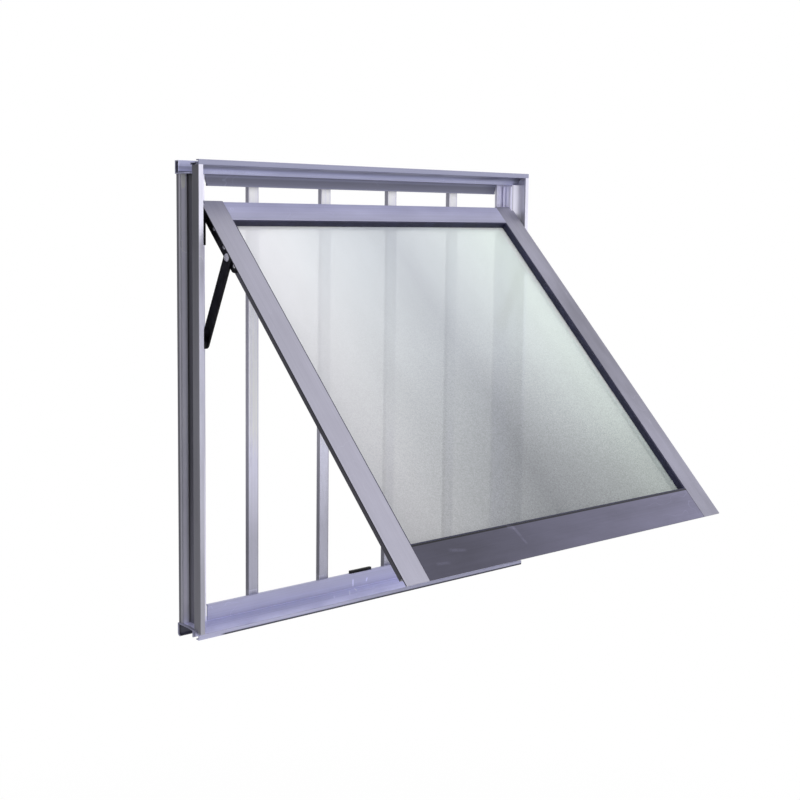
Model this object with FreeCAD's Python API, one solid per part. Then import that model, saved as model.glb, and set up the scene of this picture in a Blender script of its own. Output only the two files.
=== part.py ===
import FreeCAD, Part
import math
import os

# Top hung window, standing open on its friction stays, with upright bars behind it.
# Millimetres. X runs along the wall, +Y to the room, +Z up. The origin is the middle
# of the sill's flat underside, below the front of the stop lip.

# Outer frame
frame_width = 600.0
frame_height = 613.0
frame_depth = 55.0
web = 1.5
head_floor = 17.0
jamb_floor = 15.2
lip_depth = 37.0
lip_thickness = 2.0
bead_thickness = 4.0
bead_height = 2.0
head_lip_reach = 31.5
jamb_lip_reach = 32.0
lip_end_gap = 2.8
head_lip_slant = 5.0

# Front rim and cove
rim_width = 6.4
rim_plate = 1.6
rim_return = 6.0
rim_return_wall = 1.4
box_inset = 3.0
box_depth = 20.0
cove_start = 3.0
wall = 1.3
leg_depth = 8.5
jamb_leg_inset = 2.0
head_leg_inset = 0.0

# Sill
sill_floor = 10.0
sill_slope_depth = 30.0
sill_lip_top = 32.0
sill_front_leg = 8.3
sill_rear_drop = 7.6
sill_hook = 4.5
sill_overhang = 3.0

# Upright bars
bar_count = 4
bar_pitch = 122.7
bar_width = 16.0
bar_depth = 9.5
bar_wall = 1.2
bar_round = 1.6
bar_setback = 45.0

# Sash
sash_side_gap = 15.6
sash_top_gap = 28.2
sash_bottom_gap = 16.8
stile_width = 34.0
top_rail_width = 31.0
bottom_rail_width = 45.4
sash_depth = 23.5
sash_leaf = 15.0
leaf_thickness = 1.6
stile_proud = 1.5
stile_notch = 4.3
stile_notch_length = 7.5
edge_round = 0.5
bead_width = 10.0
bead_bevel = 3.0
bead_wall = 1.1

# Glass and rubber
glass_setback = 9.9
glass_thickness = 4.0
glass_edge_cover = 8.0
outer_rubber = 1.5
inner_rubber = 1.2
rubber_cover = 5.0
rubber_show = 2.0
rubber_setback = 1.2

# Friction stays
open_angle = 43.94
track_setback = 27.0
track_width = 15.0
track_height = 4.0
track_wall = 1.2
track_lip = 3.0
track_below_pivot = 16.0
track_length = 228.0
link_pivot_drop = 231.2
link_length = 121.8
link_width = 17.0
arm_width = 17.0
arm_shoe_pivot = 6.1
arm_link_pivot = 81.2
arm_end_centre = 96.0
arm_setback = 15.7
stay_thickness = 2.5
stay_gap = 0.3
shoe_length = 47.0
shoe_above_pivot = 7.4
shoe_width = 19.0
shoe_cap = 2.0
boss_radius = 7.0
rivet_radius = 2.5
rivet_head_radius = 5.0
rivet_head = 1.6

# Latch and keeper
keeper_length = 40.0
keeper_height = 3.7
keeper_depth = 5.0
latch_length = 46.0
latch_height = 17.5
latch_base_thickness = 5.0
latch_edge = 19.5
lever_length = 74.0
lever_width = 12.0
lever_thickness = 5.0
lever_hub_radius = 8.0

# Derived places
half_width = frame_width / 2
bottom_z = web - sill_floor
top_z = bottom_z + frame_height
front_y = -lip_depth
X = FreeCAD.Vector(1, 0, 0)
Y = FreeCAD.Vector(0, 1, 0)
Z = FreeCAD.Vector(0, 0, 1)
angle = math.radians(open_angle)
down = FreeCAD.Vector(0, -math.sin(angle), -math.cos(angle))
inward = FreeCAD.Vector(0, math.cos(angle), -math.sin(angle))
sash_half = half_width - sash_side_gap
sash_height = frame_height - sash_top_gap - sash_bottom_gap
arm_span = arm_link_pivot - arm_shoe_pivot
track_y = front_y + track_setback
pivot_z = top_z - link_pivot_drop
link_lean = math.asin(arm_span * math.sin(angle) / link_length)
shoe_z = pivot_z + link_length * math.cos(link_lean) + arm_span * math.cos(angle)
shoe_point = FreeCAD.Vector(0, track_y, shoe_z)
sash_corner = shoe_point - down * arm_shoe_pivot - inward * arm_setback
arm_face = sash_side_gap + sash_leaf
arm_inset = arm_face - stay_thickness
link_inset = arm_inset - stay_gap - stay_thickness
track_top = jamb_floor + track_height
pieces = {}


def loop(place, start, steps):
    """A closed wire from a start and steps; a step of two points is an arc."""
    edges = []
    here = place(*start)
    first = here
    for step in steps:
        if isinstance(step[0], tuple):
            there = place(*step[1])
            edges.append(Part.Arc(here, place(*step[0]), there).toShape())
        else:
            there = place(*step)
            edges.append(Part.makeLine(here, there))
        here = there
    if here.distanceToPoint(first) > 1e-6:
        edges.append(Part.makeLine(here, first))
    return Part.Wire(edges)


def prism(place, start, steps, travel):
    return Part.Face(loop(place, start, steps)).extrude(travel)


def box_between(low, high):
    size = high - low
    return Part.makeBox(size.x, size.y, size.z, low)


def rounded(points, radius):
    """Steps round a polygon whose corners are all rounded by the same radius."""
    steps = []
    count = len(points)
    for index in range(count):
        before = FreeCAD.Vector(*points[index - 1], 0)
        corner = FreeCAD.Vector(*points[index], 0)
        after = FreeCAD.Vector(*points[(index + 1) % count], 0)
        back = (before - corner).normalize()
        ahead = (after - corner).normalize()
        opening = back.getAngle(ahead)
        reach = radius / math.tan(opening / 2)
        middle = (back + ahead).normalize()
        centre = corner + middle * (radius / math.sin(opening / 2))
        bend = centre - middle * radius
        enter = corner + back * reach
        leave = corner + ahead * reach
        if index:
            steps.append((enter.x, enter.y))
        else:
            start = (enter.x, enter.y)
        steps.append(((bend.x, bend.y), (leave.x, leave.y)))
    return start, steps


def cove_point(floor, inset, depth):
    """The middle of the hollow curve between the rim and the frame's floor."""
    half = math.sqrt(0.5)
    drop = (floor - rim_width - inset) * half
    run = (box_depth - cove_start - depth) * half
    return floor - inset - drop, cove_start + run


# Frame members: the section is drawn as inset from the rim's outer edge and depth from its front
def frame_section(place, travel, floor, reach, leg_start):
    lip_back = lip_depth + lip_thickness
    bead_front = lip_depth + (lip_thickness - bead_thickness) / 2
    bead_back = bead_front + bead_thickness
    middle = cove_point(floor, 0, 0)
    steps = [
        (rim_width, 0),
        (rim_width, cove_start),
        (middle, (floor, box_depth)),
        (floor, lip_depth),
        (reach - bead_height, lip_depth),
        (reach - bead_height, bead_front),
        (reach, bead_front),
        (reach, bead_back),
        (reach - bead_height, bead_back),
        (reach - bead_height, lip_back),
        (floor, lip_back),
        (floor, frame_depth),
        (leg_start, frame_depth),
        (leg_start, frame_depth - leg_depth),
        (floor - web, frame_depth - leg_depth),
        (floor - web, box_depth),
        (box_inset, box_depth),
        (box_inset, rim_plate),
        (rim_return_wall, rim_plate),
        (rim_return_wall, rim_return),
        (0, rim_return),
    ]
    solid = prism(place, (0, 0), steps, travel)
    inner = box_inset + wall
    hollow_end = (floor - 3 * wall, box_depth - wall)
    hollow_middle = cove_point(floor, 2 * wall, wall)
    hollow = [
        (rim_width - wall, cove_start),
        (hollow_middle, hollow_end),
        (inner, box_depth - wall),
    ]
    rear = [
        (floor - wall, frame_depth - wall),
        (floor - wall, frame_depth - leg_depth + wall),
        (leg_start + wall, frame_depth - leg_depth + wall),
    ]
    chamber = prism(place, (leg_start + wall, frame_depth - wall), rear, travel)
    return solid.cut([prism(place, (inner, rim_plate), hollow, travel), chamber])


def make_head():
    def place(inset, depth):
        return FreeCAD.Vector(-half_width, front_y + depth, top_z - inset)

    travel = X * frame_width
    head = frame_section(place, travel, head_floor, head_lip_reach, head_leg_inset)
    for side in (-1, 1):
        start = half_width - jamb_lip_reach - lip_end_gap + head_lip_slant / 2
        near = FreeCAD.Vector(half_width - box_inset - wall, front_y + rim_plate, 0)
        far = FreeCAD.Vector(half_width + 1, front_y + box_depth, top_z - rim_width)
        near.z = top_z - head_floor
        end = box_between(near, far)
        head = head.cut(end if side > 0 else end.mirror(FreeCAD.Vector(0, 0, 0), X))

        def corner(across, inset):
            return FreeCAD.Vector(side * across, front_y + box_depth, top_z - inset)

        steps = [
            (start - head_lip_slant, head_lip_reach + 1),
            (half_width + 1, head_lip_reach + 1),
            (half_width + 1, head_floor),
        ]
        head = head.cut(prism(corner, (start, head_floor), steps, Y * frame_depth))
    pieces["frame_head"] = head


def sill_surface(place, travel):
    """Everything under the sill's sloping upper face, for cutting what stands on it."""
    low = -2 * frame_depth
    steps = [
        (rim_width, 0),
        (sill_floor, sill_slope_depth),
        (sill_floor, frame_depth + 5),
        (low, frame_depth + 5),
        (low, -5),
        (rim_width, -5),
    ]
    return prism(place, (rim_width, -5), steps[:-1], travel)


def make_sill():
    def place(height, depth):
        return FreeCAD.Vector(-half_width, front_y + depth, bottom_z + height)

    lip_back = lip_depth + lip_thickness
    bead_front = lip_depth + (lip_thickness - bead_thickness) / 2
    bead_back = bead_front + bead_thickness
    drop = -sill_rear_drop
    rear = frame_depth
    leg_front = box_depth - wall
    slope = (sill_floor - rim_width) / sill_slope_depth

    def underside(depth):
        return rim_width + slope * min(depth, sill_slope_depth) - web

    leg_bottom = underside(box_depth) - sill_front_leg
    hook_middle = (drop + 0.3 * sill_hook, rear - 0.3 * sill_hook)
    hook_inside = (drop + web + 0.2 * sill_hook, rear - web - 0.2 * sill_hook)
    steps = [
        (rim_width, 0),
        (sill_floor, sill_slope_depth),
        (sill_floor, lip_depth),
        (sill_lip_top - bead_height, lip_depth),
        (sill_lip_top - bead_height, bead_front),
        (sill_lip_top, bead_front),
        (sill_lip_top, bead_back),
        (sill_lip_top - bead_height, bead_back),
        (sill_lip_top - bead_height, lip_back),
        (sill_floor, lip_back),
        (sill_floor, rear),
        (drop + sill_hook, rear),
        (hook_middle, (drop, rear - sill_hook)),
        (drop + web, rear - sill_hook),
        (hook_inside, (drop + sill_hook, rear - web)),
        (underside(rear), rear - web),
        (underside(rear), sill_slope_depth),
        (underside(box_depth), box_depth),
        (leg_bottom, box_depth),
        (leg_bottom, leg_front),
        (underside(leg_front), leg_front),
        (underside(rim_plate), rim_plate),
        (rim_return_wall, rim_plate),
        (rim_return_wall, rim_return),
        (0, rim_return),
    ]
    sill = prism(place, (0, 0), steps, X * frame_width)
    for side in (-1, 1):
        start = half_width - jamb_lip_reach - lip_end_gap
        low = FreeCAD.Vector(min(side * start, side * half_width), front_y + box_depth, 0)
        size = half_width - start
        low.z = bottom_z + sill_floor
        cutter = Part.makeBox(size, frame_depth, sill_lip_top, low)
        sill = sill.cut(cutter)
        end = min(side * half_width, side * (half_width + sill_overhang))
        corner = FreeCAD.Vector(end, front_y, bottom_z)
        rim = Part.makeBox(sill_overhang, rim_plate, rim_width, corner)
        foot = Part.makeBox(sill_overhang, rim_return, rim_return_wall, corner)
        sill = sill.fuse([rim, foot])
    pieces["frame_sill"] = sill.removeSplitter()


def make_jambs():
    """The left jamb, coped over the sloping sill, and its mirror image on the right."""

    def place(inset, depth):
        return FreeCAD.Vector(inset - half_width, front_y + depth, bottom_z)

    def under_sill(height, depth):
        return FreeCAD.Vector(-half_width - 9, front_y + depth, bottom_z + height)

    travel = Z * (frame_height - head_floor)
    full = frame_section(place, travel, jamb_floor, jamb_lip_reach, jamb_leg_inset)
    tongue = [
        (rim_width, 0),
        (rim_width, cove_start),
        (rim_width - wall, cove_start),
        (rim_width - wall, rim_plate),
        (box_inset + wall, rim_plate),
        (box_inset + wall, box_depth),
        (box_inset, box_depth),
        (box_inset, rim_plate),
        (0, rim_plate),
    ]
    jamb = full.fuse(prism(place, (0, 0), tongue, Z * (frame_height - rim_width)))
    jamb = jamb.cut(sill_surface(under_sill, X * (frame_width + 18)))
    pieces["left_jamb"] = jamb.removeSplitter()
    pieces["right_jamb"] = pieces["left_jamb"].mirror(FreeCAD.Vector(0, 0, 0), X)


def make_bar(index):
    middle = (index - (bar_count - 1) / 2) * bar_pitch
    low = FreeCAD.Vector(middle, front_y + bar_setback + bar_depth / 2, bottom_z + sill_floor)
    height = frame_height - sill_floor - head_floor

    def place(across, depth):
        return low + X * across + Y * depth

    def tube(shrink, radius):
        x = bar_width / 2 - shrink
        y = bar_depth / 2 - shrink
        corners = [(-x, -y), (x, -y), (x, y), (-x, y)]
        start, steps = rounded(corners, radius)
        return prism(place, start, steps, Z * height)

    bar = tube(0, bar_round).cut(tube(bar_wall, bar_round - bar_wall + 0.1))
    pieces["security_bar_%d" % (index + 1)] = bar


# Sash members: the section is drawn as inset from the sash's outer edge and depth from its face
def sash_point(across, along, depth):
    return sash_corner + X * across + down * along + inward * depth


def sash_section(place, width, travel):
    rear = width - bead_width
    seat = glass_setback - outer_rubber
    r = edge_round
    bend = r * (1 - math.sqrt(0.5))
    steps = [
        (width - r, 0),
        ((width - bend, bend), (width, r)),
        (width, seat),
        (rear, seat),
        (rear, sash_depth - r),
        ((rear - bend, sash_depth - bend), (rear - r, sash_depth)),
        (sash_leaf + r, sash_depth),
        ((sash_leaf + bend, sash_depth - bend), (sash_leaf, sash_depth - r)),
        (sash_leaf, leaf_thickness),
        (0, leaf_thickness),
        (0, r),
        ((bend, bend), (r, 0)),
    ]
    solid = prism(place, (r, 0), steps, travel)
    near = sash_leaf + wall
    hollow = [
        (width - wall, leaf_thickness),
        (width - wall, seat - wall),
        (rear - wall, seat - wall),
        (rear - wall, sash_depth - wall),
        (near, sash_depth - wall),
    ]
    return solid.cut(prism(place, (near, leaf_thickness), hollow, travel))


def make_stile(side, name):
    def place(inset, depth):
        return sash_point(side * (sash_half - inset), -stile_proud, depth)

    travel = down * (sash_height + stile_proud)
    stile = sash_section(place, stile_width, travel)
    corner = [(stile_notch, -1), (stile_notch, leaf_thickness + 1), (-1, leaf_thickness + 1)]
    notch = prism(place, (-1, -1), corner, down * stile_notch_length)
    past = stile_width + 1
    behind = [(past, leaf_thickness), (past, sash_depth + 1), (-1, sash_depth + 1)]
    top_end = prism(place, (-1, leaf_thickness), behind, down * (stile_proud + sash_leaf))
    low_end = top_end.translated(down * (sash_height - sash_leaf))
    pieces[name] = stile.cut([notch, top_end, low_end])


def make_rail(top, name):
    width = top_rail_width if top else bottom_rail_width
    reach = sash_half - stile_width + bead_width
    seat = glass_setback - outer_rubber

    def place(inset, depth):
        along = inset if top else sash_height - inset
        return sash_point(-reach, along, depth)

    def notch(across, depth):
        return sash_point(across, -1 if top else sash_height - width - 1, depth)

    rail = sash_section(place, width, X * (2 * reach))
    for side in (-1, 1):
        inner = side * (sash_half - stile_width)
        outer = side * (reach + 1)
        steps = [(outer, -1), (outer, seat), (inner, seat)]
        rail = rail.cut(prism(notch, (inner, -1), steps, down * (width + 2)))
    pieces[name] = rail


def bead_section(place, width, travel):
    front = glass_setback + glass_thickness + inner_rubber
    shoulder = sash_depth - bead_bevel - 1
    rear = width - bead_width

    def outline(shrink):
        nose = width - bead_bevel - shrink / 2
        steps = [
            (width - shrink, front + shrink),
            (width - shrink, shoulder - shrink / 2),
            (nose, sash_depth - shrink),
            (rear + shrink, sash_depth - shrink),
        ]
        return prism(place, (rear + shrink, front + shrink), steps, travel)

    return outline(0).cut(outline(bead_wall))


def make_bead(kind, name):
    def place(inset, depth):
        if kind == "top":
            return sash_point(-reach, inset, depth)
        if kind == "bottom":
            return sash_point(-reach, sash_height - inset, depth)
        side = -1 if kind == "left" else 1
        return sash_point(side * (sash_half - inset), top_rail_width, depth)

    widths = {"top": top_rail_width, "bottom": bottom_rail_width}
    reach = sash_half - stile_width + bead_width
    if kind in widths:
        travel = X * (2 * reach)
    else:
        travel = down * (sash_height - top_rail_width - bottom_rail_width)
    pieces[name] = bead_section(place, widths.get(kind, stile_width), travel)


def pane(cover, front, thickness):
    """A flat sheet that reaches under the sash members by the given cover."""
    half = sash_half - stile_width + cover
    low = top_rail_width - cover
    high = sash_height - bottom_rail_width + cover

    def place(across, along):
        return sash_point(across, along, front)

    steps = [(half, low), (half, high), (-half, high)]
    return prism(place, (-half, low), steps, inward * thickness)


def make_glass():
    pieces["glass_pane"] = pane(glass_edge_cover, glass_setback, glass_thickness)
    foot = pane(rubber_cover, glass_setback - outer_rubber, outer_rubber)
    depth = glass_setback - rubber_setback
    lining = pane(0, rubber_setback, depth).fuse(foot)
    ring = lining.cut(pane(-rubber_show, rubber_setback, depth))
    pieces["outer_glazing_rubber"] = ring.removeSplitter()
    back = glass_setback + glass_thickness
    ring = pane(rubber_cover, back, inner_rubber)
    pieces["inner_glazing_rubber"] = ring.cut(pane(-rubber_show / 2, back, inner_rubber))


def stay_disc(side, inset, centre, radius, thickness):
    start = FreeCAD.Vector(side * (half_width - inset), centre.y, centre.z)
    return Part.makeCylinder(radius, thickness, start, X * (-side))


def stay_plate(side, inset, first, last, width):
    """A flat bar with round ends between two pivots."""
    axis = (last - first).normalize()
    across = axis.cross(X) * (width / 2)
    start = X * (side * (half_width - inset))
    corners = [first + across, last + across, last - across, first - across]
    wire = Part.makePolygon([start + c for c in corners] + [start + corners[0]])
    plate = Part.Face(wire).extrude(X * (-side * stay_thickness))
    ends = [stay_disc(side, inset, c, width / 2, stay_thickness) for c in (first, last)]
    return plate.fuse(ends).removeSplitter()


def make_stay(side, name):
    fixed = FreeCAD.Vector(0, track_y, pivot_z)
    joint = shoe_point + down * arm_span
    tip = shoe_point + down * (arm_end_centre - arm_shoe_pivot)
    hole = rivet_radius + stay_gap
    deep = 4 * stay_thickness

    def place(inset, depth):
        low = pivot_z - track_below_pivot
        return FreeCAD.Vector(side * (half_width - inset), track_y + depth, low)

    edge = track_width / 2
    mouth = edge - track_lip
    base = jamb_floor + track_wall
    roof = track_top - track_wall
    steps = [
        (track_top, -edge),
        (track_top, -mouth),
        (roof, -mouth),
        (roof, track_wall - edge),
        (base, track_wall - edge),
        (base, edge - track_wall),
        (roof, edge - track_wall),
        (roof, mouth),
        (track_top, mouth),
        (track_top, edge),
        (jamb_floor, edge),
    ]
    track = prism(place, (jamb_floor, -edge), steps, Z * track_length)
    pieces[name + "_stay_track"] = track

    low_z = shoe_z + shoe_above_pivot - shoe_length

    def block(half, near, far):
        first = FreeCAD.Vector(side * (half_width - near), track_y - half, low_z)
        last = FreeCAD.Vector(side * (half_width - far), track_y + half, low_z + shoe_length)
        low = FreeCAD.Vector(min(first.x, last.x), first.y, first.z)
        high = FreeCAD.Vector(max(first.x, last.x), last.y, last.z)
        return box_between(low, high)

    cap = track_top + stay_gap
    shoe = block(edge - track_wall - stay_gap, base + stay_gap, roof - stay_gap)
    neck = block(mouth - stay_gap, base + stay_gap, cap + shoe_cap)
    top = block(shoe_width / 2, cap, cap + shoe_cap)
    pin = stay_disc(side, cap, shoe_point, rivet_radius, arm_face - cap - stay_gap)
    knob = stay_disc(side, cap, shoe_point, boss_radius, arm_inset - stay_gap - cap)
    shoe = shoe.fuse([neck, top, pin, knob]).removeSplitter()
    pieces[name + "_stay_shoe"] = shoe

    link = stay_plate(side, link_inset, fixed, joint, link_width)
    link = link.fuse(stay_disc(side, cap, fixed, boss_radius, link_inset - cap))
    link = link.cut(stay_disc(side, cap - 1, fixed, hole, deep + boss_radius))
    link = link.cut(stay_disc(side, link_inset - 1, joint, hole, deep))
    pieces[name + "_stay_link"] = link

    arm = stay_plate(side, arm_inset, shoe_point, tip, arm_width)
    arm = arm.cut(stay_disc(side, arm_inset - 1, shoe_point, hole, deep))
    arm = arm.cut(stay_disc(side, arm_inset - 1, joint, hole, deep))
    pieces[name + "_stay_arm"] = arm

    head = stay_disc(side, link_inset - rivet_head, joint, rivet_head_radius, rivet_head)
    shank = stay_disc(side, link_inset, joint, rivet_radius, arm_face - link_inset - stay_gap)
    far = link_inset + stay_thickness
    lower_head = stay_disc(side, far, fixed, rivet_head_radius, rivet_head)
    foot = base + stay_gap
    lower = stay_disc(side, foot, fixed, rivet_radius, far - foot)
    rivets = [head.fuse(shank), lower_head.fuse(lower)]
    pieces[name + "_stay_rivets"] = Part.makeCompound(rivets)


def make_latch():
    low = FreeCAD.Vector(
        -keeper_length / 2,
        (lip_thickness - keeper_depth) / 2,
        bottom_z + sill_lip_top,
    )
    keeper = Part.makeBox(keeper_length, keeper_depth, keeper_height, low)
    upright = [e for e in keeper.Edges if abs(e.tangentAt(0).z) > 0.9]
    pieces["latch_keeper"] = keeper.makeFillet(1.2, upright)

    middle = sash_height - latch_edge - latch_height / 2

    def place(across, along):
        return sash_point(across, middle + along, sash_depth)

    x = latch_length / 2
    y = latch_height / 2
    start, steps = rounded([(-x, -y), (x, -y), (x, y), (-x, y)], 3.0)
    base = prism(place, start, steps, inward * latch_base_thickness)
    pieces["latch_base"] = base

    def lever_place(across, along):
        return sash_point(across, middle + along, sash_depth + latch_base_thickness)

    half = lever_width / 2
    far = lever_length
    outline = [(0, -half), (far, -half * 0.7), (far, half * 0.7), (0, half)]
    start, steps = rounded(outline, 2.5)
    lever = prism(lever_place, start, steps, inward * lever_thickness)
    centre = lever_place(0, 0)
    hub = Part.makeCylinder(lever_hub_radius, lever_thickness + 1, centre, inward)
    pieces["latch_lever"] = lever.fuse(hub).removeSplitter()


def main():
    make_head()
    make_sill()
    make_jambs()
    for index in range(bar_count):
        make_bar(index)
    make_stile(-1, "sash_left_stile")
    make_stile(1, "sash_right_stile")
    make_rail(True, "sash_top_rail")
    make_rail(False, "sash_bottom_rail")
    for kind in ("top", "bottom", "left", "right"):
        make_bead(kind, "glazing_bead_" + kind)
    make_glass()
    make_stay(-1, "left")
    make_stay(1, "right")
    make_latch()
    os.makedirs("parts", exist_ok=True)
    for name in sorted(pieces):
        pieces[name].exportStep("parts/" + name + ".step")


main()
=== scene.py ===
import math

import bpy
from mathutils import Matrix, Vector


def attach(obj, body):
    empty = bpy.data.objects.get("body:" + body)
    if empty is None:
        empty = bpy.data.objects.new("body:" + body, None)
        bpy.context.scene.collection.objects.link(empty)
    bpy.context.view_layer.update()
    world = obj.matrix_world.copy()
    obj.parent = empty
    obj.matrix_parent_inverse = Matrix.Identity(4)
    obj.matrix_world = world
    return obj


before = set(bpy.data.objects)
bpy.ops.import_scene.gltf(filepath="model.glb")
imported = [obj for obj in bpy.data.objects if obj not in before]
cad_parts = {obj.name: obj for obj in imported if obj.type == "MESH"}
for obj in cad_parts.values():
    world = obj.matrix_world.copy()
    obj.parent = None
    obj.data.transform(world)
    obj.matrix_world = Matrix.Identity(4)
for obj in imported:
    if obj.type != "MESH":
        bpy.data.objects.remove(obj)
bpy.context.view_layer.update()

# Outer frame
# Head, sill and two jambs are thin extrusions of natural anodised aluminium. The die
# leaves fine lines along each one, and handling leaves dull patches and pale scratches.
# Light and shade are painted on them too: the head's darker tone, paler and darker bands
# on the profiles, the channels towards the wall painted dark as shade, and pale marks along
# the head's cove as painted highlights.
ALONG_X = (0.0, 0.0, 0.0)
ALONG_Z = (0.0, math.radians(90), 0.0)
HALF_WIDTH = 0.300
BOX_SIDE = HALF_WIDTH - 0.003
LEG_SIDE = HALF_WIDTH - 0.002
CHANNEL_FLOOR = HALF_WIDTH - 0.0137
BOTTOM = -0.0085
TOP = BOTTOM + 0.613
HEAD_RIM_FOOT = TOP - 0.0064
HEAD_FLOOR = TOP - 0.017
RIM_FACE = -0.037
BOX_BACK = RIM_FACE + 0.020
LEG_FRONT = 0.0095
LINE_WAVES = (1.5, 420.0, 420.0)
PATCH_WAVES = (9.0, 30.0, 30.0)
GRAIN_WAVES = (1500.0, 2600.0, 2600.0)
HAIR_WAVES = (38.0, 70.0, 55.0)
HANDLED_WAVES = (11.0, 17.0, 17.0)
SCUFF_STRENGTH = 0.35
BUMP_HEIGHT = 0.0001


def new_material(name):
    material = bpy.data.materials.new(name)
    material.use_nodes = True
    tree = material.node_tree
    return material, tree, tree.nodes["Principled BSDF"]


def new_group(name, inputs, outputs):
    """A shader node group with the sockets named, each with its kind of value."""
    group = bpy.data.node_groups.new(name, "ShaderNodeTree")
    for way, sockets in (("INPUT", inputs), ("OUTPUT", outputs)):
        for socket, kind in sockets.items():
            group.interface.new_socket(socket, in_out=way, socket_type="NodeSocket" + kind)
    given = group.nodes.new("NodeGroupInput").outputs
    result = group.nodes.new("NodeGroupOutput").inputs
    return group, given, result


def fill(tree, socket, value):
    """Link another node's output to a socket, or give the socket a value of its own."""
    if isinstance(value, bpy.types.NodeSocket):
        tree.links.new(value, socket)
    else:
        socket.default_value = value


def add_turn(tree, source, turn):
    """A vector turned about the origin, so that a pattern lies along a sloping piece."""
    lie = tree.nodes.new("ShaderNodeMapping")
    lie.inputs["Rotation"].default_value = turn
    fill(tree, lie.inputs["Vector"], source)
    return lie.outputs["Vector"]


def add_noise(tree, source, waves, detail=3.0, roughness=0.55):
    """A noise whose waves a metre are given for each axis."""
    stretch = tree.nodes.new("ShaderNodeMapping")
    stretch.inputs["Scale"].default_value = waves
    noise = tree.nodes.new("ShaderNodeTexNoise")
    noise.inputs["Scale"].default_value = 1.0
    noise.inputs["Detail"].default_value = detail
    noise.inputs["Roughness"].default_value = roughness
    fill(tree, stretch.inputs["Vector"], source)
    fill(tree, noise.inputs["Vector"], stretch.outputs["Vector"])
    return noise.outputs["Fac"]


def add_range(tree, source, low, high, to_low, to_high):
    """A value carried from one range into another, and held at its ends."""
    mapped = tree.nodes.new("ShaderNodeMapRange")
    fill(tree, mapped.inputs["Value"], source)
    mapped.inputs["From Min"].default_value = low
    mapped.inputs["From Max"].default_value = high
    mapped.inputs["To Min"].default_value = to_low
    mapped.inputs["To Max"].default_value = to_high
    return mapped.outputs["Result"]


def add_swing(tree, noise, reach, middle=0.0):
    """A noise, most of which lies between 0.3 and 0.7, spread evenly to both sides of a middle."""
    return add_range(tree, noise, 0.3, 0.7, middle - reach, middle + reach)


def add_math(tree, operation, first, second=0.0):
    joined = tree.nodes.new("ShaderNodeMath")
    joined.operation = operation
    fill(tree, joined.inputs[0], first)
    fill(tree, joined.inputs[1], second)
    return joined.outputs["Value"]


def add_vector_math(tree, operation, first, second):
    joined = tree.nodes.new("ShaderNodeVectorMath")
    joined.operation = operation
    fill(tree, joined.inputs[0], first)
    fill(tree, joined.inputs["Scale" if operation == "SCALE" else 1], second)
    return joined.outputs["Value" if operation in ("DOT_PRODUCT", "DISTANCE") else "Vector"]


def no_brighter(tree, colour):
    """The colour, with each part held to one at most."""
    return add_vector_math(tree, "MINIMUM", colour, (1.0, 1.0, 1.0))


def make_drawn_metal():
    """Die lines along X, dull patches, hairline scuffs and a fine grain, as three outputs."""
    shares = {"Level": "Float", "Lines": "Float", "Patches": "Float", "Scuffs": "Float", "Gloss": "Float"}
    group, given, result = new_group(
        "drawn_metal",
        {"Vector": "Vector", "Metal": "Color", **shares},
        {"Colour": "Color", "Roughness": "Float", "Height": "Float"},
    )

    def noise(waves, detail, roughness):
        return add_noise(group, given["Vector"], waves, detail, roughness)

    def join(operation, first, second=0.0):
        return add_math(group, operation, first, second)

    lines = noise(LINE_WAVES, 4.0, 0.6)
    patches = noise(PATCH_WAVES, 5.0, 0.62)
    grain = noise(GRAIN_WAVES, 2.0, 0.5)
    hair = noise(HAIR_WAVES, 1.0, 0.4)
    handled = noise(HANDLED_WAVES, 1.0, 0.5)

    hair_middle = join("ABSOLUTE", join("SUBTRACT", hair, 0.5))
    hairline = add_range(group, hair_middle, 0.002, 0.007, 1.0, 0.0)
    scuffed = add_range(group, handled, 0.60, 0.68, 0.0, 1.0)
    scuff = join("MULTIPLY", join("MULTIPLY", hairline, scuffed), given["Scuffs"])
    fine = add_swing(group, grain, 0.03)

    tone = join("ADD", join("MULTIPLY", add_swing(group, lines, 1.0), given["Lines"]), fine)
    tone = join("ADD", tone, join("MULTIPLY", add_swing(group, patches, 1.0), given["Patches"]))
    tone = join("ADD", join("ADD", tone, join("MULTIPLY", scuff, SCUFF_STRENGTH)), 1.0)
    tone = join("MULTIPLY", tone, given["Level"])
    coloured = add_vector_math(group, "SCALE", given["Metal"], tone)
    dull = join("ADD", add_swing(group, patches, 0.06), fine)
    fill(group, result["Colour"], no_brighter(group, coloured))
    fill(group, result["Roughness"], join("ADD", given["Gloss"], dull))
    fill(group, result["Height"], join("SUBTRACT", lines, scuff))
    return group


def make_scratch_and_highlight():
    """A mask that is one on a short straight mark and fades to its ends and sides. The marks are
    scratches, and painted highlights on the head.
    """
    group, given, result = new_group(
        "scratch_and_highlight",
        {"Vector": "Vector", "Centre": "Vector", "Along": "Vector", "Length": "Float", "Width": "Float"},
        {"Mask": "Float"},
    )
    off = add_vector_math(group, "SUBTRACT", given["Vector"], given["Centre"])
    run = add_vector_math(group, "DOT_PRODUCT", off, given["Along"])
    on_line = add_vector_math(group, "SCALE", given["Along"], run)
    aside = add_vector_math(group, "DISTANCE", off, on_line)
    ahead = add_math(group, "DIVIDE", add_math(group, "ABSOLUTE", run), given["Length"])
    across = add_math(group, "DIVIDE", aside, given["Width"])
    ends = add_range(group, ahead, 0.25, 0.5, 1.0, 0.0)
    sides = add_range(group, across, 0.2, 0.6, 1.0, 0.0)
    broken = add_range(group, add_noise(group, given["Vector"], (900.0,) * 3), 0.35, 0.55, 0.2, 1.0)
    mask = add_math(group, "MULTIPLY", ends, sides)
    fill(group, result["Mask"], add_math(group, "MULTIPLY", mask, broken))
    return group


drawn_metal = make_drawn_metal()
scratch_and_highlight = make_scratch_and_highlight()


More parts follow.
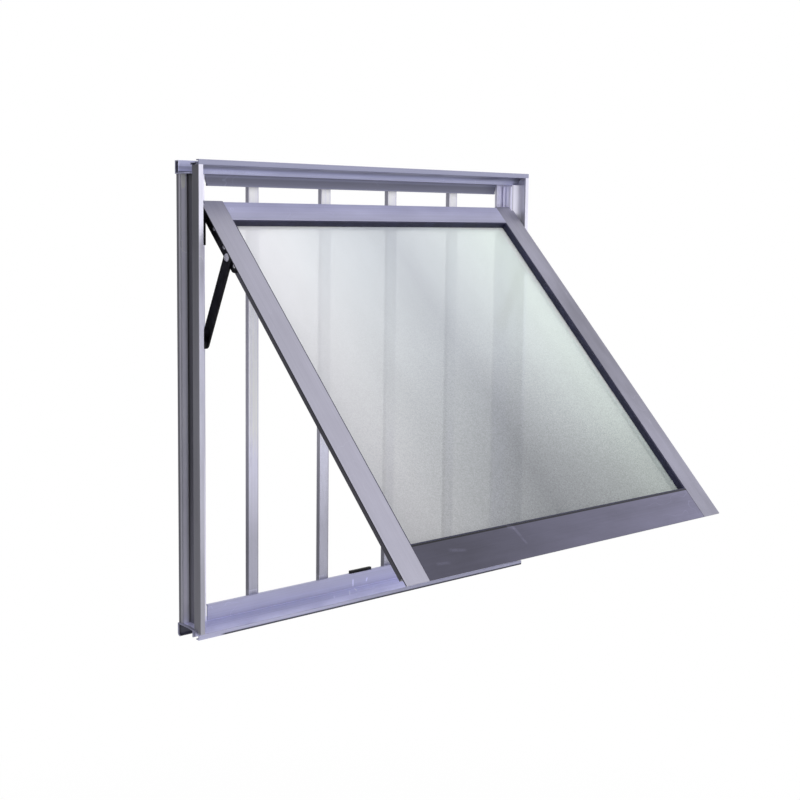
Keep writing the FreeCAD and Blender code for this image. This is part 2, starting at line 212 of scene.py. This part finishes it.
def add_stains_and_painted_light(tree, where, stain_and_shade_marks):
    """One, less a share inside each mark, which is painted shade for most marks; a share below zero makes
    its place paler, which is painted light.

    Each limit gives an axis or a direction, the place where the stain is still clear and the
    place where it is full, in metres. The axis "wide" is the distance from the window's middle.
    """
    split = tree.nodes.new("ShaderNodeSeparateXYZ")
    fill(tree, split.inputs["Vector"], where)
    axes = {axis: split.outputs[axis] for axis in "XYZ"}
    axes["wide"] = add_math(tree, "ABSOLUTE", split.outputs["X"])
    level = 1.0
    for share, limits in stain_and_shade_marks.values():
        mask = share
        for axis, clear, full in limits:
            if axis not in axes:
                axes[axis] = add_vector_math(tree, "DOT_PRODUCT", where, axis)
            mask = add_math(tree, "MULTIPLY", add_range(tree, axes[axis], clear, full, 0.0, 1.0), mask)
        level = add_math(tree, "MULTIPLY", level, add_math(tree, "SUBTRACT", 1.0, mask))
    return level


def add_marks(tree, where, marks, level):
    """The level, made paler on each mark, scratches and painted highlights alike: its centre, direction,
    length, width and strength.
    """
    for centre, along, length, width, strength in marks:
        mark = tree.nodes.new("ShaderNodeGroup")
        mark.node_tree = scratch_and_highlight
        fill(tree, mark.inputs["Vector"], where)
        mark.inputs["Centre"].default_value = centre
        mark.inputs["Along"].default_value = along
        mark.inputs["Length"].default_value = length
        mark.inputs["Width"].default_value = width
        paler = add_math(tree, "MULTIPLY", mark.outputs["Mask"], strength)
        level = add_math(tree, "ADD", level, paler)
    return level


def add_bump(tree, height, strength, reach):
    bump = tree.nodes.new("ShaderNodeBump")
    bump.inputs["Strength"].default_value = strength
    bump.inputs["Distance"].default_value = reach
    fill(tree, bump.inputs["Height"], height)
    return bump.outputs["Normal"]


def aluminium(
    name, colour, turn, roughness=0.36, metallic=0.55,
    lines=0.05, patches=0.05, scuffs=1.0, stain_and_shade_marks=None, marks=(),
):
    """Anodised aluminium whose die lines run along X once its coordinates are turned."""
    material, tree, shader = new_material(name)
    where = tree.nodes.new("ShaderNodeTexCoord").outputs["Object"]
    metal = tree.nodes.new("ShaderNodeGroup")
    metal.node_tree = drawn_metal
    metal.inputs["Metal"].default_value = (*colour, 1.0)
    metal.inputs["Lines"].default_value = lines
    metal.inputs["Patches"].default_value = patches
    metal.inputs["Scuffs"].default_value = scuffs
    metal.inputs["Gloss"].default_value = roughness
    level = add_stains_and_painted_light(tree, where, stain_and_shade_marks) if stain_and_shade_marks else 1.0
    fill(tree, metal.inputs["Level"], add_marks(tree, where, marks, level))
    fill(tree, metal.inputs["Vector"], add_turn(tree, where, turn))
    fill(tree, shader.inputs["Base Color"], metal.outputs["Colour"])
    fill(tree, shader.inputs["Roughness"], metal.outputs["Roughness"])
    fill(tree, shader.inputs["Normal"], add_bump(tree, metal.outputs["Height"], 0.25, BUMP_HEIGHT))
    shader.inputs["Metallic"].default_value = metallic
    return material


def finish_nodes(names, material):
    """Give CAD nodes their finish."""
    for name in names:
        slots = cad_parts[name].data.materials
        slots.clear()
        slots.append(material)


on_lip = ("Y", -0.0020, -0.0005)
on_rim = ("Y", RIM_FACE + 0.0025, RIM_FACE + 0.0008)
leg_edge = [("Y", LEG_FRONT - 0.0007, LEG_FRONT - 0.0001), ("Y", LEG_FRONT + 0.0006, LEG_FRONT + 0.0002)]
# Painted light and shade on the head: the part behind the lip, a line on the lip and a band under the rim
# are darker as painted shade, and the lip's top band, the cove and the leg's edge are paler as painted
# light, with the leg's edge darker at its foot as painted shade. The box's ends are painted paler.
head_light_and_shade = {
    "behind_lip": (0.47, [("Y", -0.0040, 0.0)]),
    "lip_root": (-0.45, [on_lip, ("Z", HEAD_FLOOR - 0.0040, HEAD_FLOOR - 0.0015)]),
    "lip_middle": (0.16, [
        on_lip,
        ("Z", HEAD_FLOOR - 0.0030, HEAD_FLOOR - 0.0050),
        ("Z", HEAD_FLOOR - 0.0105, HEAD_FLOOR - 0.0085),
    ]),
    "below_rim": (0.30, [
        ("Z", HEAD_RIM_FOOT - 0.0003, HEAD_RIM_FOOT - 0.0013),
        ("Z", HEAD_RIM_FOOT - 0.0056, HEAD_RIM_FOOT - 0.0031),
    ]),
    "cove": (-0.85, [
        ("Z", HEAD_RIM_FOOT - 0.0016, HEAD_RIM_FOOT - 0.0076),
        ("Y", -0.0020, -0.0080),
        ("wide", HALF_WIDTH - 0.0008, HALF_WIDTH - 0.0014),
    ]),
    "leg_edge": (-1.15, leg_edge),
    "leg_edge_foot": (0.80, leg_edge + [("Z", HEAD_FLOOR + 0.0040, HEAD_FLOOR + 0.0025)]),
    "paler_box_ends": (-0.90, [
        ("wide", HALF_WIDTH - 0.0010, HALF_WIDTH - 0.0002),
        ("Y", RIM_FACE + 0.0070, RIM_FACE + 0.0110),
    ]),
}
# Two pale marks along the head's cove are painted highlights.
head_highlights = [
    ((-0.2300, -0.0205, 0.5900), (1.0, 0.0, 0.0), 0.140, 0.0070, 0.70),
    ((-0.0700, -0.0205, 0.5900), (1.0, 0.0, 0.0), 0.160, 0.0060, 0.25),
]
# The head's tone, darker than the jambs' and the sill's, is painted shade.
head_metal = aluminium(
    "head_aluminium", (0.26, 0.265, 0.375), ALONG_X, stain_and_shade_marks=head_light_and_shade, marks=head_highlights
)
finish_nodes(["frame_head"], head_metal)

# Painted light and shade on the sill: the line along the rim's foot, the hollow underneath and the left
# end are darker as painted shade, and the slope's foot is paler as painted light. The rim is darker to
# the right.
sill_light_shade_and_tone = {
    "rim_foot": (0.85, [
        ("Z", BOTTOM + 0.0027, BOTTOM + 0.0019),
        ("Y", RIM_FACE + 0.0020, RIM_FACE + 0.0010),
        ("X", -0.270, -0.262),
    ]),
    "underside": (0.92, [
        ("Z", 0.0004, -0.0010),
        ("Y", BOX_BACK - 0.0020, BOX_BACK),
        ("wide", HALF_WIDTH - 0.0008, HALF_WIDTH - 0.0015),
    ]),
    "slope_foot": (-0.42, [("Z", 0.0023, 0.0016), ("Y", RIM_FACE + 0.0005, RIM_FACE + 0.0025)]),
    "rim_right": (0.30, [("Y", RIM_FACE + 0.0015, RIM_FACE + 0.0005), ("X", -0.12, 0.04)]),
    "left_end_shade": (0.55, [("X", -0.2955, -0.2965), ("Y", RIM_FACE + 0.0025, RIM_FACE + 0.0035)]),
}
sill_marks = [
    ((-0.0141, 0.0, 0.0090), (0.0, 0.0, 1.0), 0.013, 0.0024, 0.9),
    ((-0.0160, -0.0080, 0.0013), (0.3, 0.95, 0.1), 0.012, 0.0028, 0.8),
    ((0.0120, 0.0, 0.0095), (0.3, 0.0, 0.95), 0.008, 0.0028, 0.6),
    ((-0.0320, -0.0140, 0.0006), (0.6, 0.8, 0.1), 0.020, 0.0024, 0.5),
    ((-0.0620, -0.0160, 0.0004), (0.6, 0.8, 0.1), 0.012, 0.0024, 0.4),
]
sill_metal = aluminium(
    "sill_aluminium", (0.46, 0.46, 0.64), ALONG_X, lines=0.09, stain_and_shade_marks=sill_light_shade_and_tone, marks=sill_marks
)
finish_nodes(["frame_sill"], sill_metal)

box_side = [
    ("wide", BOX_SIDE - 0.0010, BOX_SIDE - 0.0004),
    ("Y", RIM_FACE + 0.0005, RIM_FACE + 0.0010),
    ("Y", BOX_BACK, BOX_BACK - 0.0002),
]
channel = [
    ("wide", CHANNEL_FLOOR - 0.0009, CHANNEL_FLOOR - 0.0007),
    ("wide", CHANNEL_FLOOR + 0.0017, CHANNEL_FLOOR + 0.0009),
    ("Y", BOX_BACK - 0.0010, BOX_BACK),
]
jamb_leg_edge = leg_edge + [("wide", 0.2878, 0.2915), ("wide", LEG_SIDE, LEG_SIDE - 0.0030)]
jamb_cove = [
    ("X", CHANNEL_FLOOR - 0.0017, CHANNEL_FLOOR - 0.0011),
    ("X", BOX_SIDE - 0.0025, BOX_SIDE - 0.0033),
    ("Y", RIM_FACE + 0.0025, RIM_FACE + 0.0035),
    ("Y", BOX_BACK + 0.0005, BOX_BACK - 0.0010),
]
# Painted light and shade on the jambs: the box sides, the channels and the legs' sides are darker as
# painted shade, the box sides and channels more so higher up; the legs' edges are paler as painted light,
# more so at the top; the rim is painted paler above its foot and darker at its foot; the right jamb's
# cove and the inner sides are painted paler as light.
jamb_light_and_shade = {
    "box_side": (0.46, box_side),
    "box_side_top": (0.40, box_side + [("Z", 0.30, 0.52)]),
    "channel": (0.75, channel),
    "channel_top": (0.53, channel + [("Z", 0.06, 0.22)]),
    "leg_side": (0.62, [
        ("wide", LEG_SIDE - 0.0006, LEG_SIDE - 0.0001),
        ("Y", LEG_FRONT + 0.0025, LEG_FRONT + 0.0040),
    ]),
    "leg_edge": (-0.80, jamb_leg_edge),
    "leg_edge_top": (-0.90, jamb_leg_edge + [("Z", 0.568, 0.582)]),
    "rim_top": (-0.38, [on_rim, ("Z", 0.10, 0.28)]),
    "rim_middle": (-0.28, [on_rim, ("Z", 0.10, 0.28), ("Z", 0.56, 0.46)]),
    "rim_foot": (0.18, [on_rim, ("Z", 0.12, 0.06)]),
    "right_cove": (-0.40, jamb_cove),
    "inner_side": (-0.80, [("wide", CHANNEL_FLOOR - 0.0011, CHANNEL_FLOOR - 0.0015)]),
}
jamb_metal = aluminium("jamb_aluminium", (0.465, 0.46, 0.54), ALONG_Z, stain_and_shade_marks=jamb_light_and_shade)
finish_nodes(["left_jamb", "right_jamb"], jamb_metal)

# Security bars
# Four rounded oblong tubes stand in the head and the sill behind the sash. They are drawn
# aluminium given a near-white tone as painted light, the brightest pieces. Their blue is
# written past one, where it is cut off, so that it shows only where painted shade darkens
# them: on their sides, low down and along their right edges. The feet of the left bars
# are painted paler as highlights.
BAR_PITCH = 0.1227
BAR_HALF = 0.008
BAR_FRONT = RIM_FACE + 0.045
BAR_BACK = BAR_FRONT + 0.0095
bars = ["security_bar_%d" % (index + 1) for index in range(4)]
bar_light_and_shade = {
    "sides": (0.68, [
        ("Y", BAR_FRONT + 0.0008, BAR_FRONT + 0.0016),
        ("Y", BAR_BACK - 0.0003, BAR_BACK - 0.0007),
    ]),
    "low": (0.51, [("Z", 0.25, 0.10)]),
    "left_feet": (-0.35, [("Z", 0.0285, 0.0275), ("X", -0.05, -0.07)]),
}
for index, bar in enumerate(bars):
    right_side = BAR_PITCH * (index - 1.5) + BAR_HALF
    bar_light_and_shade[bar + "_right_edge"] = (0.40, [
        ("X", right_side - 0.0024, right_side - 0.0014),
        ("X", right_side + 0.0010, right_side + 0.0002),
    ])
bar_metal = aluminium(
    "bar_aluminium", (0.98, 0.97, 1.17), ALONG_Z, roughness=0.30, metallic=0.1, stain_and_shade_marks=bar_light_and_shade
)
finish_nodes(bars, bar_metal)

# Sash members
# Two stiles run past the two rails. Their faces slope with the open sash, so their die
# lines do too. Each member is given its own tone as painted light and shade: the right
# stile is darker than the left, and the bottom rail is the darkest, above all at its
# left, as painted shade.
SASH_SLOPE = math.radians(43.94)
SASH_TOP = Vector((0.0, -0.01706, 0.5528))
SASH_DOWN = Vector((0.0, -math.sin(SASH_SLOPE), -math.cos(SASH_SLOPE)))
SASH_INWARD = Vector((0.0, math.cos(SASH_SLOPE), -math.sin(SASH_SLOPE)))
SASH_FACE = SASH_TOP.dot(SASH_INWARD)
STILE_EDGE = HALF_WIDTH - 0.0156
STILE_BODY = STILE_EDGE - 0.015
RAIL_START = 0.5226
behind = tuple(SASH_INWARD)
downward = tuple(SASH_DOWN)
rail_edge = SASH_TOP.dot(SASH_DOWN) + RAIL_START
rail_turn = (SASH_SLOPE, 0.0, 0.0)
stile_turn = (SASH_SLOPE, math.radians(90), 0.0)


def sash_mark(across, along, lean, length, width, strength):
    """A mark on the sash's face, placed from its middle and its top edge, leaning by degrees."""
    centre = SASH_TOP + SASH_DOWN * along + Vector((across, 0.0, 0.0))
    lean = math.radians(lean)
    way = SASH_DOWN * math.cos(lean) + Vector((math.sin(lean), 0.0, 0.0))
    return tuple(centre), tuple(way), length, width, strength


# The dark leaf edge and body side along each stile are painted shade.
stile_edge_shade = {
    "leaf_edge": (0.86, [
        ("wide", STILE_EDGE - 0.0006, STILE_EDGE - 0.0001),
        (behind, SASH_FACE + 0.0001, SASH_FACE + 0.0003),
    ]),
    "body_side": (0.68, [
        ("wide", STILE_BODY - 0.0005, STILE_BODY - 0.0002),
        ("wide", STILE_BODY + 0.0008, STILE_BODY + 0.0004),
        (behind, SASH_FACE + 0.0016, SASH_FACE + 0.0022),
    ]),
}
left_metal = aluminium(
    "left_stile_aluminium", (0.328, 0.322, 0.395), stile_turn, scuffs=0.3, stain_and_shade_marks=stile_edge_shade
)
finish_nodes(["sash_left_stile"], left_metal)
right_stile_shade_and_band = {**stile_edge_shade, "middle": (0.18, [("Z", 0.47, 0.40), ("Z", 0.26, 0.33)])}
# The right stile's tone, darker than the left's, is painted shade; a band across its middle is darker
# still.
right_metal = aluminium(
    "right_stile_aluminium", (0.26, 0.255, 0.325), stile_turn, patches=0.16, stain_and_shade_marks=right_stile_shade_and_band
)
finish_nodes(["sash_right_stile"], right_metal)

# The top rail is painted darker towards the glass as shade.
top_rail_shade = {"towards_glass": (0.30, [("Y", -0.0255, -0.0375)])}
top_metal = aluminium("top_rail_aluminium", (0.52, 0.52, 0.71), rail_turn, stain_and_shade_marks=top_rail_shade)
finish_nodes(["sash_top_rail"], top_metal)

# The bottom rail's dark tone, darker still to its left, is painted shade. A dark line along the glass
# stands for the black seal there, and a dark line marks the right joint.
bottom_rail_shade_and_lines = {
    "left": (0.70, [("X", 0.32, -0.18)]),
    "along_glass": (0.88, [(downward, rail_edge + 0.0027, rail_edge + 0.0019)]),
    "right_joint": (0.55, [("X", 0.2488, 0.2495)]),
}
bottom_marks = [
    sash_mark(-0.0935, 0.5255, 70, 0.014, 0.0060, 0.20),
    sash_mark(-0.0880, 0.5330, 15, 0.018, 0.0050, 0.22),
    sash_mark(-0.0850, 0.5460, 20, 0.012, 0.0040, 0.20),
    sash_mark(-0.1900, 0.5400, 80, 0.030, 0.0050, 0.18),
    sash_mark(-0.2200, 0.5520, 85, 0.024, 0.0040, 0.15),
]
bottom_metal = aluminium(
    "bottom_rail_aluminium", (0.178, 0.172, 0.262), rail_turn,
    patches=0.14, stain_and_shade_marks=bottom_rail_shade_and_lines, marks=bottom_marks,
)
finish_nodes(["sash_bottom_rail"], bottom_metal)

# Glazing beads
# Four hollow aluminium beads snap into the sash's members and hold the glass from the room
# side. They are plain and little handled.
BEAD_COLOUR = (0.38, 0.38, 0.46)
bead_metal = aluminium("bead_aluminium", BEAD_COLOUR, rail_turn)
finish_nodes(["glazing_bead_top", "glazing_bead_bottom"], bead_metal)
side_bead_metal = aluminium("side_bead_aluminium", BEAD_COLOUR, stile_turn)
finish_nodes(["glazing_bead_left", "glazing_bead_right"], side_bead_metal)

# Glass pane
# One pane of milky textured glass: the bars and the jamb show through it, pale and thin.
# It is greener at its right and bluer in its middle, and dust speckles its foot, more to
# the right.
SASH_TOP_ALONG = -SASH_TOP.dot(SASH_DOWN)
LEFT_TINT = (1.0, 1.005, 1.05, 1.0)
RIGHT_TINT = (1.0, 1.10, 1.07, 1.0)
MIDDLE_TINT = (1.0, 1.05, 1.14, 1.0)
BRIGHTEST = 0.97


def add_blend(tree, factor, first, second):
    """A colour between two colours."""
    tone = tree.nodes.new("ShaderNodeMix")
    tone.data_type = "RGBA"
    fill(tree, tone.inputs["Factor"], factor)
    fill(tree, tone.inputs["A"], first)
    fill(tree, tone.inputs["B"], second)
    return tone.outputs["Result"]


def milky_glass():
    """Pale glass painted with light and shade: brightest at its top, darkest low in its middle
    and paler at its edges, where it is painted light against the rebates' shade.

    Across is measured from the window's middle and along from the sash's top edge, in metres.
    """
    material, tree, shader = new_material("milky_glass")
    where = tree.nodes.new("ShaderNodeTexCoord").outputs["Object"]
    flat = add_turn(tree, where, rail_turn)
    split = tree.nodes.new("ShaderNodeSeparateXYZ")
    fill(tree, split.inputs["Vector"], flat)

    def join(operation, first, second=0.0):
        return add_math(tree, operation, first, second)

    def ranged(source, low, high, to_low, to_high):
        return add_range(tree, source, low, high, to_low, to_high)

    across = split.outputs["X"]
    along = join("SUBTRACT", SASH_TOP_ALONG, split.outputs["Z"])
    middle = ranged(join("ABSOLUTE", join("SUBTRACT", across, 0.01)), 0.20, 0.0, 0.0, 1.0)

    # The fall from top to foot, the dip low in the middle and the darker corner and foot to the right are
    # painted shade.
    fall = ranged(along, 0.0, 0.50, 0.97, 0.49)
    dip = join("MULTIPLY", middle, ranged(along, 0.26, 0.44, 0.27, 0.48))
    corner = join("MULTIPLY", ranged(across, 0.0, 0.20, 0.0, 0.07), ranged(along, 0.25, 0.10, 0.0, 1.0))
    foot = join("MULTIPLY", ranged(across, 0.04, 0.16, 0.0, 0.13), ranged(along, 0.38, 0.47, 0.0, 1.0))
    shade = join("ADD", dip, join("ADD", corner, foot))
    # The edges are painted paler as light, against the shade of the rebates.
    left_edge = ranged(across, -0.236, -0.252, 0.0, 0.16)
    top_edge = ranged(along, 0.042, 0.034, 0.0, 0.20)
    right_edge = ranged(across, 0.236, 0.246, 0.0, 0.55)
    edge = join("MAXIMUM", join("MAXIMUM", left_edge, top_edge), right_edge)
    level = join("MULTIPLY", fall, join("SUBTRACT", 1.0, shade))
    level = join("MINIMUM", join("MULTIPLY", level, join("ADD", edge, 1.0)), BRIGHTEST)

    specks = add_noise(tree, flat, (750.0, 750.0, 750.0), 3.0, 0.7)
    clouds = add_noise(tree, flat, (14.0, 14.0, 4.0), 4.0, 0.55)
    dusty = join("MULTIPLY", ranged(along, 0.15, 0.42, 0.02, 0.30), ranged(across, -0.24, 0.0, 0.35, 1.0))
    speckle = join("MULTIPLY", add_swing(tree, specks, 1.0), dusty)
    speckle = join("ADD", speckle, add_swing(tree, clouds, 0.03))
    level = join("MULTIPLY", level, join("ADD", speckle, 1.0))

    tone = add_blend(tree, ranged(across, -0.22, 0.22, 0.0, 1.0), LEFT_TINT, RIGHT_TINT)
    tone = add_blend(tree, join("MULTIPLY", middle, 0.8), tone, MIDDLE_TINT)
    tinted = add_vector_math(tree, "SCALE", tone, level)
    fill(tree, shader.inputs["Base Color"], no_brighter(tree, tinted))
    fill(tree, shader.inputs["Roughness"], add_swing(tree, specks, 0.006, middle=0.014))
    fill(tree, shader.inputs["Normal"], add_bump(tree, specks, 0.3, 0.1 * BUMP_HEIGHT))
    shader.inputs["IOR"].default_value = 1.45
    shader.inputs["Transmission Weight"].default_value = 0.42
    return material


finish_nodes(["glass_pane"], milky_glass())

# Glazing rubbers
# Black wedge seals of soft rubber line the rebate round the glass outside. A thinner seal
# behind it shows as a line inside.


def dull_black(name, colour, roughness, waves=900.0, sheen=0.5):
    """A black skin with a fine speckle and thin dust."""
    material, tree, shader = new_material(name)
    where = tree.nodes.new("ShaderNodeTexCoord").outputs["Object"]
    speckle = add_noise(tree, where, (waves,) * 3, 3.0, 0.6)
    dust = add_noise(tree, where, (45.0, 45.0, 45.0), 4.0, 0.6)
    dusty_colour = [2.0 * part + 0.006 for part in colour]
    dustiness = add_range(tree, dust, 0.45, 0.75, 0.0, 0.6)
    tone = add_blend(tree, dustiness, (*colour, 1.0), (*dusty_colour, 1.0))
    fill(tree, shader.inputs["Base Color"], tone)
    fill(tree, shader.inputs["Roughness"], add_swing(tree, speckle, 0.06, middle=roughness))
    fill(tree, shader.inputs["Normal"], add_bump(tree, speckle, 0.3, BUMP_HEIGHT))
    shader.inputs["Specular IOR Level"].default_value = sheen
    return material


rubber = dull_black("seal_rubber", (0.008, 0.008, 0.034), 0.6)
finish_nodes(["outer_glazing_rubber", "inner_glazing_rubber"], rubber)

# Friction stays
# A track on each jamb carries a nylon shoe; a black steel arm is screwed to the sash's
# stile and braced by a link from the track. Bright rivets are the pivots.
finish_nodes(["left_stay_track", "right_stay_track"], jamb_metal)
black_nylon = dull_black("black_nylon", (0.004, 0.004, 0.006), 0.5, sheen=0.15)
finish_nodes(["left_stay_shoe", "right_stay_shoe"], black_nylon)
stay_steel = dull_black("black_steel", (0.003, 0.003, 0.005), 0.42, waves=1500.0, sheen=0.15)
finish_nodes(["left_stay_arm", "right_stay_arm", "left_stay_link", "right_stay_link"], stay_steel)
bright_steel = aluminium(
    "bright_steel", (0.62, 0.62, 0.66), ALONG_X, roughness=0.30, metallic=0.9, patches=0.2, scuffs=0.0
)
finish_nodes(["left_stay_rivets", "right_stay_rivets"], bright_steel)

# Stay screws
# Three bright steel pan-head screws with crossed slots hold each arm to its stile. One
# head is a ball cut off and pressed flat, with two blocks cut out of its top.
ARM_FACE = STILE_BODY + 0.0025
SCREW_DEPTH = 0.0152
FIRST_SCREW = 0.0325
SCREW_SPACING = 0.0317
SCREWS = 3
SCREW_RADIUS = 0.0031
SCREW_CUT = 0.3 * SCREW_RADIUS
SCREW_FLATNESS = 0.5
SLOT_HEIGHT = 0.38 * SCREW_RADIUS
SLOT_SIZE = (1.1 * SCREW_RADIUS, 0.26 * SCREW_RADIUS, 0.36 * SCREW_RADIUS)
FIRST_TURN = 0.4
TURN_STEP = 0.9


def pan_head(name):
    """A low domed head round Z with a crossed slot, its seat at the origin."""
    bpy.ops.object.select_all(action="DESELECT")
    bpy.ops.mesh.primitive_uv_sphere_add(segments=24, ring_count=16, radius=SCREW_RADIUS)
    head = bpy.context.object
    head.name = name
    bpy.ops.object.mode_set(mode="EDIT")
    bpy.ops.mesh.select_all(action="SELECT")
    bpy.ops.mesh.bisect(plane_co=(0, 0, SCREW_CUT), plane_no=(0, 0, 1), clear_inner=True, use_fill=True)
    bpy.ops.mesh.select_all(action="SELECT")
    bpy.ops.transform.translate(value=(0, 0, -SCREW_CUT))
    bpy.ops.transform.resize(value=(1.0, 1.0, SCREW_FLATNESS), center_override=(0, 0, 0))
    bpy.ops.object.mode_set(mode="OBJECT")
    for turn in (0.0, math.radians(90)):
        bpy.ops.object.select_all(action="DESELECT")
        bpy.ops.mesh.primitive_cube_add(size=1.0, location=(0, 0, SLOT_HEIGHT), rotation=(0, 0, turn))
        slot = bpy.context.object
        slot.scale = SLOT_SIZE
        cut = head.modifiers.new("slot", "BOOLEAN")
        cut.operation = "DIFFERENCE"
        cut.solver = "EXACT"
        cut.object = slot
        bpy.context.view_layer.objects.active = head
        bpy.ops.object.modifier_apply(modifier="slot")
        bpy.data.objects.remove(slot, do_unlink=True)
    bpy.ops.object.select_all(action="DESELECT")
    head.select_set(True)
    bpy.context.view_layer.objects.active = head
    bpy.ops.object.shade_smooth_by_angle(angle=math.radians(35))
    return head


def place_copy(pattern, name, place, material):
    """A copy with a mesh of its own, moved into place within the mesh."""
    copy = bpy.data.objects.new(name, pattern.data.copy())
    bpy.context.scene.collection.objects.link(copy)
    copy.data.transform(place)
    copy.data.materials.clear()
    copy.data.materials.append(material)
    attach(copy, "root")


screw_pattern = pan_head("screw_pattern")
for side, sign in (("left", -1), ("right", 1)):
    facing = Vector((sign, 0.0, 0.0)).to_track_quat("Z", "Y").to_matrix().to_4x4()
    for index in range(SCREWS):
        seat = SASH_TOP + SASH_DOWN * (FIRST_SCREW + SCREW_SPACING * index) + SASH_INWARD * SCREW_DEPTH
        seat.x = sign * ARM_FACE
        turned = Matrix.Rotation(FIRST_TURN + TURN_STEP * index, 4, "Z")
        place = Matrix.Translation(seat) @ facing @ turned
        place_copy(screw_pattern, "%s_arm_screw_%d" % (side, index + 1), place, bright_steel)
bpy.data.objects.remove(screw_pattern, do_unlink=True)

# Latch and keeper
# A die-cast lever turns on a base on the sash's bottom rail and drops behind a keeper on
# the sill's lip. All are black.
finish_nodes(["latch_keeper"], black_nylon)
finish_nodes(["latch_base", "latch_lever"], stay_steel)

# Floor and backdrop
# A small pale floor well below the window, which would be held in a wall at about this
# height. The camera sees it melt into the white backdrop before it ends.
FLOOR_DROP = 1.3
FLOOR_REACH = 3.0
FADE_START = 0.4 * FLOOR_REACH
FADE_END = 0.9 * FLOOR_REACH
SEEN_WHITE = ("Is Camera Ray", "Is Transmission Ray", "Is Glossy Ray")
bpy.ops.object.select_all(action="DESELECT")
bpy.ops.mesh.primitive_circle_add(
    vertices=96, radius=FLOOR_REACH, fill_type="NGON", location=(0.0, 0.0, -FLOOR_DROP)
)
floor = bpy.context.object
floor.name = "floor"


def seen_rays(tree, kinds):
    """One for the kinds of ray named, and zero for the others."""
    path = tree.nodes.new("ShaderNodeLightPath")
    seen = path.outputs[kinds[0]]
    for kind in kinds[1:]:
        seen = add_math(tree, "MAXIMUM", seen, path.outputs[kind])
    return seen


def add_shader_mix(tree, factor, first, second, output):
    """Two shaders mixed into an output node's surface."""
    mix = tree.nodes.new("ShaderNodeMixShader")
    fill(tree, mix.inputs["Fac"], factor)
    fill(tree, mix.inputs[1], first)
    fill(tree, mix.inputs[2], second)
    fill(tree, tree.nodes[output].inputs["Surface"], mix.outputs["Shader"])


def pale_floor():
    """A matt pale floor that takes the shadow and fades to white where it is seen far out."""
    material, tree, shader = new_material("pale_floor")
    shader.inputs["Base Color"].default_value = (0.80, 0.80, 0.80, 1.0)
    shader.inputs["Roughness"].default_value = 0.9
    where = tree.nodes.new("ShaderNodeTexCoord").outputs["Object"]
    far = add_vector_math(tree, "DISTANCE", where, (0.0, 0.0, 0.0))
    fade = add_range(tree, far, FADE_START, FADE_END, 0.85, 1.0)
    white = tree.nodes.new("ShaderNodeEmission").outputs["Emission"]
    share = add_math(tree, "MULTIPLY", fade, seen_rays(tree, SEEN_WHITE))
    add_shader_mix(tree, share, shader.outputs["BSDF"], white, "Material Output")
    return material


floor.data.materials.append(pale_floor())

# Light
# A soft pale room with one large lamp. The camera and the glass see it plain white, and
# the metal sees it too, brighter high in front and dim behind on the left.
UP = (0.0, 0.0, 1.0)
OUTSIDE = (0.0, -1.0, 0.0)
BEHIND_LEFT = (-0.75, 0.60, -0.10)
WHITE = (1.0, 1.0, 1.0, 1.0)
LAMP_POWER = 14.0
LAMP_SIZE = 1.8
LAMP_PLACE = (0.4, -2.2, 2.6)
LAMP_AIM = Vector((0.0, -0.1, 0.3))
world = bpy.data.worlds.new("studio")
bpy.context.scene.world = world
world.use_nodes = True
sky = world.node_tree
way = sky.nodes.new("ShaderNodeTexCoord").outputs["Generated"]


def toward(direction, low, high, to_low, to_high):
    """A value that changes with how far a ray of light comes from a direction."""
    facing = add_vector_math(sky, "DOT_PRODUCT", way, Vector(direction).normalized())
    return add_range(sky, facing, low, high, to_low, to_high)


room = sky.nodes["Background"]
room.inputs["Color"].default_value = WHITE
fill(sky, room.inputs["Strength"], toward(UP, -0.3, 1.0, 0.95, 1.10))

high = toward(UP, -0.35, 0.10, 0.0, 0.75)
ahead = toward(OUTSIDE, -0.1, 0.6, 0.0, 1.0)
level = toward(UP, -0.35, 0.05, 0.60, 0.90)
level = add_math(sky, "ADD", level, add_math(sky, "MULTIPLY", high, ahead))
level = add_math(sky, "MULTIPLY", level, toward(BEHIND_LEFT, 0.25, 0.90, 1.0, 0.20))
direct = seen_rays(sky, ("Is Camera Ray", "Is Transmission Ray"))
to_white = add_math(sky, "MULTIPLY", add_math(sky, "SUBTRACT", 1.0, level), direct)
mirrored = sky.nodes.new("ShaderNodeBackground")
mirrored.inputs["Color"].default_value = WHITE
fill(sky, mirrored.inputs["Strength"], add_math(sky, "ADD", level, to_white))
backgrounds = room.outputs["Background"], mirrored.outputs["Background"]
add_shader_mix(sky, seen_rays(sky, SEEN_WHITE), *backgrounds, "World Output")

lamp = bpy.data.lights.new("softbox", "AREA")
lamp.energy = LAMP_POWER
lamp.size = LAMP_SIZE
softbox = bpy.data.objects.new("softbox", lamp)
bpy.context.scene.collection.objects.link(softbox)
softbox.location = LAMP_PLACE
softbox.rotation_euler = (LAMP_AIM - softbox.location).to_track_quat("-Z", "Y").to_euler()

# Camera
# It stands outside, to the left of the window and a little above its middle, and looks
# down a little. Its shifts put the window where the photograph has it.
EYE = (-1.19743, -1.40972, 0.52825)
TURN_RIGHT = math.radians(40.46)
LOOK_DOWN = math.radians(6.25)
ROLL = math.radians(0.54)
LENS = 58.55
SHIFT = 0.04375
view = bpy.data.cameras.new("view")
view.lens = LENS
view.shift_x = SHIFT
view.shift_y = -SHIFT
camera = bpy.data.objects.new("camera", view)
bpy.context.scene.collection.objects.link(camera)
aim = Matrix.Rotation(-TURN_RIGHT, 3, "Z") @ Matrix.Rotation(math.radians(90) - LOOK_DOWN, 3, "X")
camera.rotation_euler = (aim @ Matrix.Rotation(ROLL, 3, "Z")).to_euler()
camera.location = EYE
bpy.context.scene.camera = camera
bpy.context.scene.view_settings.view_transform = "Standard"
